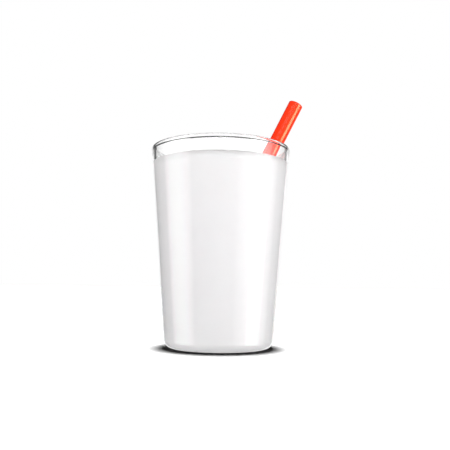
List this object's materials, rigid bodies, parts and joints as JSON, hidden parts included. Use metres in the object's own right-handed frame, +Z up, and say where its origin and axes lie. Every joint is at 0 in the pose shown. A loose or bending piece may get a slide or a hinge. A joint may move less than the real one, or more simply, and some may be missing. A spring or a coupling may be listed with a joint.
{
  "type": "glass of milk",
  "caption": "Clear tapered tumbler filled nearly to the rim with milk, with a wide orange-red straw leaning on the rim.",
  "frame": {"origin": "middle of the flat ring that the glass stands on, on the table plane", "axes": "+Z up along the glass's axis, +X to the side that the straw leans to"},
  "size_m": [0.0808, 0.0718, 0.1334],
  "materials": {
    "clear_glass": "clear, fire-polished",
    "milk": "opaque white liquid with a smooth wet surface",
    "straw": "smooth moulded polypropylene"
  },
  "bodies": {
    "root": {"glass": "clear_glass", "milk": "milk", "straw": "straw"}
  },
  "joints": []
}
